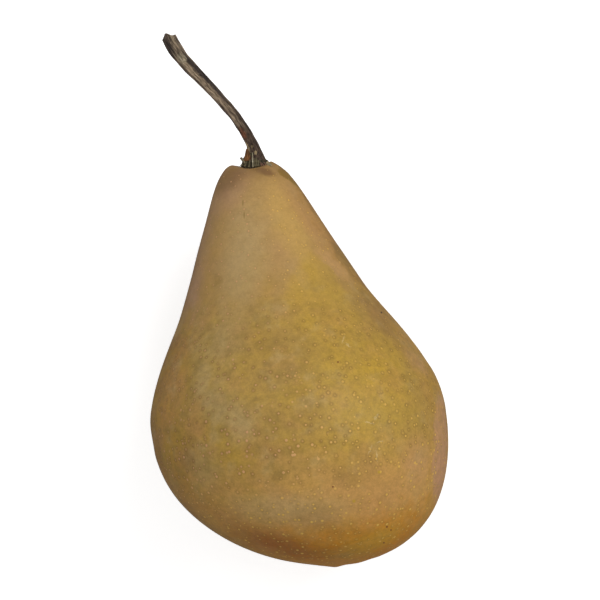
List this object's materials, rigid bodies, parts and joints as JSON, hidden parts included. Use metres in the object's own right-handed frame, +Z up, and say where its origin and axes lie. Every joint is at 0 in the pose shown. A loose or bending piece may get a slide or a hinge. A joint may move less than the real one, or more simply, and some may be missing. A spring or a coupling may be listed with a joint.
{
  "type": "pear",
  "caption": "Whole russeted pear lying on its side, with a curved woody stem, dried bract stubs and a dried calyx in its basin.",
  "frame": {"origin": "In the flat rest spot under the belly, right below the middle of the belly's widest circle.", "axes": "+Z up from the surface that the pear lies on; +Y toward the stem, along the fruit's long axis as seen from above (the axis itself falls 4 degrees that way); +X to the right, seen from above."},
  "size_m": [0.0695, 0.1306, 0.0669],
  "materials": {
    "skin": "Ripe pear skin: olive and golden ground under tan russet, with pale dots; satin, slightly waxy.",
    "stem_wood": "Dry dark brown wood with grey-tan ridges along it.",
    "dry_bract": "Thin orange-brown dried scale.",
    "grey_bract": "Grey-tan dried stub.",
    "dry_calyx": "Brittle dark brown dried sepals."
  },
  "bodies": {
    "root": {"fruit": "skin", "stem": "stem_wood", "bract_scale": "dry_bract", "bract_stub": "grey_bract", "calyx": "dry_calyx"}
  },
  "joints": []
}
